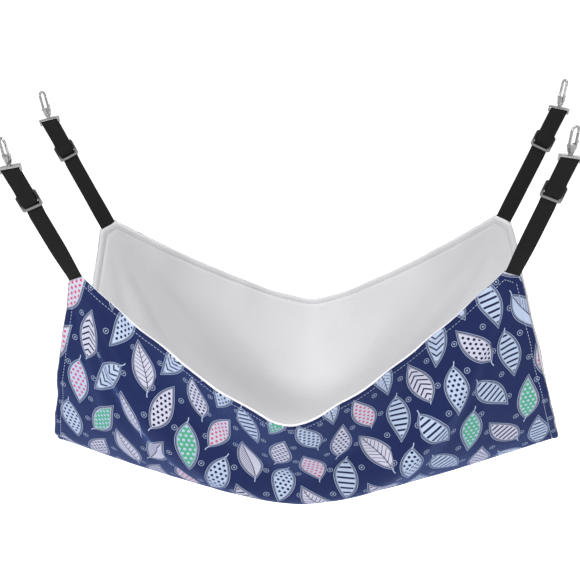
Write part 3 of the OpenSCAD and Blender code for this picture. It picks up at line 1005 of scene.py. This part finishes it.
def stitchSpots(inset):
    # both ends of each stitch, along a line inside the cut's edge
    overL, overW = halfL - inset, halfW - inset
    cut = bed["cornerCut"] - inset * (2 - math.sqrt(2))
    half = [(overL - cut, -overW), (overL, -overW + cut), (overL, overW - cut), (overL - cut, overW)]
    route = np.array(half + [(-x, -y) for x, y in half] + half[:1])
    run = runAlong(route)
    count = round(run[-1] / (stitching["length"] + stitching["gap"]))
    at = np.arange(count) * run[-1] / count
    return [np.stack([np.interp((at + extra) % run[-1], run, route[:, k]) for k in (0, 1)], -1)
            for extra in (0.0, stitching["length"])]


def sewRow(name, side, lift, thread):
    # side -1 sews on the outside of the bed, 1 on the lining
    starts, stops = stitchSpots(bed["stitchInset"])
    first, last = onSheet(starts), onSheet(stops)
    normal = side * sheetNormals((starts + stops) / 2, stitching["step"])
    across = unit(np.cross(normal, last - first))
    radius, sides = stitching["radius"], stitching["sides"]
    verts = []
    for share, swell, rise in stitching["rings"]:
        for turn in 2 * math.pi * np.arange(sides) / sides:
            verts.append(first + (last - first) * share + across * (radius * swell * math.cos(turn))
                         + normal * (lift + radius * (rise + swell * math.sin(turn))))
    index = np.arange(len(verts)).reshape(-1, sides)
    after = np.roll(index, -1, axis=1)
    tube = np.stack([index[:-1], after[:-1], after[1:], index[1:]], -1).reshape(-1, 4).tolist()
    faces = tube + [index[0, ::-1].tolist(), index[-1].tolist()]
    mesh = bpy.data.meshes.new(name)
    mesh.from_pydata(np.stack(verts, 1).reshape(-1, 3).tolist(), [],
                     [[corner + n * len(verts) for corner in face]
                      for n in range(len(first)) for face in faces])
    mesh.shade_smooth()
    piece = newPiece(name, mesh)
    with editing(piece):
        bpy.ops.mesh.normals_make_consistent(inside=False)
    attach(piece, "bed")
    setMaterial(piece, thread)
    return piece


stitchAway = np.array(bed["stitchInset"])
outerRow = sewRow("outer_topstitch", -1, halfGap + outerDepth(stitchAway), paleThread)
liningRow = sewRow("lining_topstitch", 1, halfGap + liningHeight(stitchAway), greyThread)
print("topstitching sewn")

# Straps: flat webbing through the slider and round the hook's bar
webbing = {
    "width": 0.018,
    "thick": 0.0012,
    "gap": 0.0002,
    "endUp": 0.010,
    "overlap": 0.003,
    "inset": 0.0001,
    "tail": 0.015,
    "sunk": 0.0005,
    "turnOver": 0.045,
    "dip": (0.0014, 0.0042),
    "slack": 0.001,
    "selvedge": 0.3,
    "step": 0.001,
    "bend": (-0.002, 0.009),
    "tailShares": (1.0, 0.75, 0.5, 0.25),
    "bendSteps": 10,
    "runSteps": 14,
}
slider = {
    "length": 0.019,
    "bar": 0.0026,
    "midBar": 0.0024,
    "round": 0.003,
    "edge": 0.0008,
}
eyeBarRadius = 0.0015


def ease(start, stop, steps):
    # a smooth step from one place to the next, in depth and height
    shares = np.arange(1, steps + 1) / steps
    return [(start[0] + (stop[0] - start[0]) * (1 - math.cos(math.pi * s)) / 2,
             start[1] + (stop[1] - start[1]) * s) for s in shares]


def arc(centre, radius, start, stop, steps):
    turns = np.radians(np.linspace(start, stop, steps + 1))
    return [(centre[0] + radius * math.cos(a), centre[1] + radius * math.sin(a)) for a in turns]


def strapHeights(corner):
    # heights along a strap from its seam
    strap = places[corner]["strap"].inverted()
    low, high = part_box("slider_" + corner)
    sliderAt = (strap @ ((low + high) / 2)).z
    barAt = (strap @ Vector(joints["hook_tilt_" + corner]["pos_m"])).z
    return {"slider": sliderAt, "weave": sliderAt - slider["length"], "bar": barAt,
            "barLow": barAt - eyeBarRadius,
            "runTop": sliderAt + slider["length"] / 2 + webbing["thick"]}


def strapLines(at):
    # centre lines of the run and the loop, as (depth, height) in the strap's own frame
    thick, gap, steps = webbing["thick"], webbing["gap"], webbing["bendSteps"]
    pitch = slider["length"] / 2 - slider["bar"] / 2
    behind = slider["bar"] / 2 + gap + thick / 2
    wrap = slider["midBar"] / 2 + gap + thick / 2
    front = wrap + thick + 2 * gap
    turn = eyeBarRadius + gap + thick / 2
    low, mid, high = at["slider"] - pitch, at["slider"], at["slider"] + pitch
    # behind the lower bar, then over the middle bar and the upper bar
    straight = [(0, z) for z in np.linspace(webbing["endUp"], at["weave"], webbing["runSteps"])]
    run = (straight + ease((0, at["weave"]), (behind, low), steps)
           + ease((behind, low), (-front, mid), steps) + ease((-front, mid), (-behind, high), steps)
           + [(-behind, at["runTop"])])
    # on round the hook's bar, and back down to the wrap on the middle bar
    dip = (-webbing["dip"][0], at["runTop"] + webbing["dip"][1])
    loop = ([(-behind, at["runTop"])] + ease((-behind, at["runTop"]), dip, steps)
            + ease(dip, (-turn, at["barLow"]), steps)
            + arc((0, at["bar"]), turn, 180, 0, steps) + [(turn, at["barLow"])]
            + ease((turn, at["barLow"]), (behind, high), steps)
            + ease((behind, high), (wrap, mid), steps) + arc((0, mid), wrap, 0, -180, steps)[1:])
    return run, loop


def stripAlong(name, rows, inset=0.0):
    # webbing swept along rows of (centre, direction across), by extruding a narrow plane
    half, thick = webbing["width"] / 2 - inset, webbing["thick"] - 2 * inset
    strip = addPrimitive(bpy.ops.mesh.primitive_plane_add, size=1)
    strip.name = name
    with editing(strip):
        select(strip, "VERT", lambda vert: vert.co.y > 0)
        for _ in rows[2:]:
            bpy.ops.mesh.extrude_edges_move(TRANSFORM_OT_translate={"value": (0, 1, 0)})
    spots = np.array([vert.co for vert in strip.data.vertices])
    row = np.rint(spots[:, 1] + 0.5).astype(int)
    across = np.sign(spots[:, 0]) * half
    centres, ways = np.array([centre for centre, _ in rows]), np.array([way for _, way in rows])
    strip.data.vertices.foreach_set("co", (centres[row] + ways[row] * across[:, None]).ravel())
    setCut(strip.data, np.stack([across, runAlong(centres)[row]], -1))
    strip.data.attributes.new("row", "INT", "POINT").data.foreach_set("value", row)
    strip.data.update()
    thicken = strip.modifiers.new("thick", "SOLIDIFY")
    thicken.thickness = thick
    thicken.offset = 0
    applyModifiers(strip)
    # round the selvedges, which run from row to row
    with editing(strip):
        rowOf = bmesh.from_edit_mesh(strip.data).verts.layers.int["row"]
        select(strip, "EDGE", lambda edge: edge.verts[0][rowOf] != edge.verts[1][rowOf])
        bpy.ops.mesh.bevel(offset=thick * webbing["selvedge"], segments=2)
    strip.data.attributes.remove(strip.data.attributes["row"])
    shadeByAngle(degrees=50)
    setMaterial(strip, blackWebbing)
    return strip


def makeStraps(corner):
    strap, seam = places[corner]["strap"], places[corner]["seam"]
    at = strapHeights(corner)
    run, loop = strapLines(at)
    seamWay = strap.to_3x3().inverted() @ seam.col[0].xyz
    barWay = strap.to_3x3().inverted() @ places[corner]["eye"].col[0].xyz
    seamTurn, barSlope = math.atan2(seamWay.y, seamWay.x), barWay.z / barWay.x

    def rowsOf(line):
        # turned in line with the seam at the bottom, slanted in line with the hook's bar at the top
        rows = []
        for y, z in line:
            turn = Matrix.Rotation(seamTurn * (1 - smooth(z / webbing["turnOver"])), 3, "Z")
            across = turn @ Vector((1, 0, 0))
            across.z = barSlope * smooth((z - at["runTop"]) / (at["barLow"] - at["runTop"]))
            rows.append((strap @ (turn @ Vector((0, y, z))), strap.to_3x3() @ across))
        return rows

    def upStrap(z):
        return strap @ Vector((0, 0, z))

    runPiece = stripAlong("webbing_run_" + corner, rowsOf(run))
    upStrap(-webbing["overlap"])
    upStrap(at["slider"] - slider["length"] / 2)
    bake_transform(runPiece)
    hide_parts("strap_run_" + corner)
    loopPiece = stripAlong("webbing_loop_" + corner, rowsOf(loop))
    upStrap(at["runTop"] - webbing["slack"])
    upStrap(at["bar"])
    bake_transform(loopPiece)
    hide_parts("strap_loop_" + corner)

    # the sewn end: out from between the layers, over the seam and a little up the strap
    signX = -1 if corner.endswith("left") else 1
    signY = -1 if corner.startswith("front") else 1
    mouth = np.array([signX * (halfL - bed["cornerCut"] / 2), signY * (halfW - bed["cornerCut"] / 2)])
    inward = unit(np.array([-signX, -signY]))
    sideways = unit(np.array([signX, -signY])) * webbing["width"] / 2
    spots = mouth + np.outer(webbing["tailShares"], inward) * webbing["tail"]
    left, right = onSheet(spots - sideways), onSheet(spots + sideways)
    centres = (left + right) / 2 + sheetNormals(spots, webbing["step"]) * webbing["sunk"]
    rows = [(Vector(centre), Vector(way)) for centre, way in zip(centres, unit(right - left))]
    endTop = webbing["endUp"] + webbing["overlap"]
    rows += rowsOf([(0, z) for z in np.linspace(0.0, endTop, webbing["bendSteps"])])
    endPiece = stripAlong("webbing_end_" + corner, rows, webbing["inset"])
    bendFrom, bendTo = webbing["bend"]
    upStrap(bendFrom)
    upStrap(bendTo)
    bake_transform(endPiece)
    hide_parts("strap_tail_" + corner)


for corner in corners:
    makeStraps(corner)
print("straps made")


# Sliders: a moulded frame with two slots, modelled once and copied
def makeSlider():
    inW, halfH, mid = webbing["width"] / 2 + webbing["gap"], slider["length"] / 2, slider["midBar"] / 2
    bar, tiny = slider["bar"], 1e-6
    xLine = [-inW - bar, -inW, inW, inW + bar]
    yLine = [-halfH, -halfH + bar, -mid, mid, halfH - bar, halfH]
    cols, rows = len(xLine) - 1, len(yLine) - 1
    piece = addPrimitive(bpy.ops.mesh.primitive_grid_add, x_subdivisions=cols, y_subdivisions=rows,
                         size=1)
    for vert in piece.data.vertices:
        vert.co = (xLine[round((vert.co.x + 0.5) * cols)], yLine[round((vert.co.y + 0.5) * rows)], 0)

    def inSlot(face):
        centre = face.calc_center_median()
        return abs(centre.x) < inW / 2 and mid < abs(centre.y) < halfH - bar

    def inMidBar(vert):
        return abs(vert.co.x) <= inW + tiny and abs(vert.co.y) <= mid + tiny

    def onOuterCorner(edge):
        a, b = (vert.co for vert in edge.verts)
        return abs(a.z - b.z) > bar / 2 and abs(a.x) > xLine[3] - tiny and abs(a.y) > halfH - tiny

    with editing(piece):
        select(piece, "FACE", inSlot)
        bpy.ops.mesh.delete(type="FACE")
        bpy.ops.mesh.select_all(action="SELECT")
        bpy.ops.mesh.extrude_region_move(TRANSFORM_OT_translate={"value": (0, 0, bar)})
        bpy.ops.mesh.select_all(action="SELECT")
        bpy.ops.transform.translate(value=(0, 0, -bar / 2))
        bpy.ops.mesh.normals_make_consistent(inside=False)
        select(piece, "VERT", inMidBar)
        bpy.ops.transform.resize(value=(1, 1, slider["midBar"] / bar))
        select(piece, "EDGE", onOuterCorner)
        bpy.ops.mesh.bevel(offset=slider["round"], segments=6)
    softenEdges(piece, slider["edge"], sharp=40, smoothed=40)
    piece.data.transform(Matrix.Rotation(quarter, 4, "X"))
    setCut(piece.data, [vert.co.xz for vert in piece.data.vertices])
    return piece


sliderModel = makeSlider()
for corner in corners:
    piece = copyTo(sliderModel, "tri_glide_" + corner, places[corner]["strap"]
                   @ Matrix.Translation((0, 0, strapHeights(corner)["slider"])))
    standIn(piece, "slider_" + corner, "slider_" + corner, blackPlastic)
bpy.data.objects.remove(sliderModel)
print("sliders made")

# Hooks: the metal parts with their edges rounded, modelled at one corner and copied
metalParts = {
    "eye": {"edge": 0.0006, "place": "eye"},
    "hook": {"edge": 0.0004, "place": "hook",
             "wireAbove": 0.0172, "wireRound": 0.0009, "wireSharp": 35},
    "gate": {"edge": 0.0004, "place": "hook"},
}


def roundedModel(part, shape):
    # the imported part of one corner, in its own frame
    node = frame["nodes"][part + "_" + corners[0]]
    piece = copyTo(node, part + "_model", places[corners[0]][shape["place"]].inverted())

    def onWire(edge):
        # the crook is cast like a bent round wire
        middle = (edge.verts[0].co + edge.verts[1].co) / 2
        return middle.z > shape["wireAbove"] and edge.calc_face_angle(0) > math.radians(shape["wireSharp"])

    with editing(piece):
        bpy.ops.mesh.remove_doubles(threshold=0.000005)
        bpy.ops.mesh.dissolve_limited(angle_limit=math.radians(1.5))
        if "wireAbove" in shape:
            select(piece, "EDGE", onWire)
            bpy.ops.mesh.bevel(offset=shape["wireRound"], segments=3)
    softenEdges(piece, shape["edge"], sharp=50, smoothed=35)
    return piece


for part, shape in metalParts.items():
    model = roundedModel(part, shape)
    for corner in corners:
        node = part + "_" + corner
        piece = copyTo(model, "nickel_" + node, places[corner][shape["place"]])
        standIn(piece, node, node, nickel)
    bpy.data.objects.remove(model)
for corner in corners:
    setMaterial(frame["nodes"]["gate_pin_" + corner], nickel)
print("hooks made")

# Gate springs: a small coil from the end of the hook's slot to the gate, in the hook's frame
spring = {
    "start": (0.00005, 0.0, 0.0160),
    "length": 0.0038,
    "coil": 0.00055,
    "wire": 0.00014,
    "turns": 6,
    "steps": 20,
}


def makeSpring():
    piece = addPrimitive(bpy.ops.mesh.primitive_circle_add, vertices=8, radius=spring["wire"])
    aside = Matrix.Translation((spring["coil"], 0, 0))
    piece.data.transform(aside @ Matrix.Rotation(quarter, 4, "X"))
    wind = piece.modifiers.new("wind", "SCREW")
    wind.screw_offset = (spring["length"] - 2 * spring["wire"]) / spring["turns"]
    wind.iterations = spring["turns"]
    wind.steps = wind.render_steps = spring["steps"]
    applyModifiers(piece)
    with editing(piece):
        bpy.ops.mesh.fill_holes(sides=0)
        bpy.ops.mesh.select_all(action="SELECT")
        bpy.ops.mesh.normals_make_consistent(inside=False)
    low = Vector(spring["start"]) + Vector((spring["wire"], 0, 0))
    piece.data.transform(Matrix.Translation(low) @ Matrix.Rotation(quarter, 4, "Y"))
    shadeByAngle(degrees=60)
    return piece


springModel = makeSpring()
for corner in corners:
    hook = places[corner]["hook"]
    piece = copyTo(springModel, "gate_coil_" + corner, hook)
    setMaterial(piece, springSteel)
    springStart = Vector(spring["start"])
    hook @ springStart
    hook @ (springStart + Vector((spring["length"], 0, 0)))
    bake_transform(piece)
    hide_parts("gate_spring_" + corner)
bpy.data.objects.remove(springModel)
print("gate springs made")

# Studio: pale floor well below the hanging bed, soft lights and a white surround
studio = {
    "floorZ": -0.32,
    "floorSize": 14.0,
    "lights": (  # name, place, size, power
        ("keyLight", (-1.1, -1.7, 1.9), 1.0, 46.0),
        ("fillLight", (1.7, -1.3, 0.7), 1.6, 12.0),
        ("topLight", (0.2, 0.4, 2.1), 1.2, 20.0),
        ("backLight", (0.6, 1.8, 1.0), 1.4, 8.0),
    ),
    "aim": (0.0, 0.0, 0.2),
    "surround": 0.45,
    "floorGlow": 0.62,
}


def seenDirectly(tree):
    # 1 where the camera looks, straight or through a reflection or a clear part
    path = tree.nodes.new("ShaderNodeLightPath")
    rays = [Wire(tree, path.outputs["Is %s Ray" % kind]) for kind in ("Camera", "Glossy", "Transmission")]
    return rays[0].most(rays[1]).most(rays[2])


def makeStudio():
    floor = addPrimitive(bpy.ops.mesh.primitive_plane_add, size=studio["floorSize"],
                         location=(0, 0, studio["floorZ"]))
    floor.name = "floor"
    material, tree, shader = newMaterial("paleFloor", Roughness=0.9, Base_Color=(0.86, 0.86, 0.86, 1),
                                         Emission_Color=(1, 1, 1, 1))
    plug(seenDirectly(tree) * studio["floorGlow"], shader.inputs["Emission Strength"])
    setMaterial(floor, material)
    for name, at, size, power in studio["lights"]:
        bpy.ops.object.light_add(type="AREA", location=at)
        lamp = bpy.context.object
        lamp.name = name
        lamp.data.size = size
        lamp.data.energy = power
        aim = Vector(studio["aim"]) - Vector(at)
        lamp.rotation_euler = aim.to_track_quat("-Z", "Y").to_euler()
    world = bpy.data.worlds.new("surround")
    world.use_nodes = True
    bpy.context.scene.world = world
    tree = world.node_tree
    plug(studio["surround"] + seenDirectly(tree) * (1.0 - studio["surround"]),
         tree.nodes["Background"].inputs["Strength"])
    tree.nodes["Background"].inputs["Color"].default_value = (1, 1, 1, 1)


makeStudio()
print("studio made")
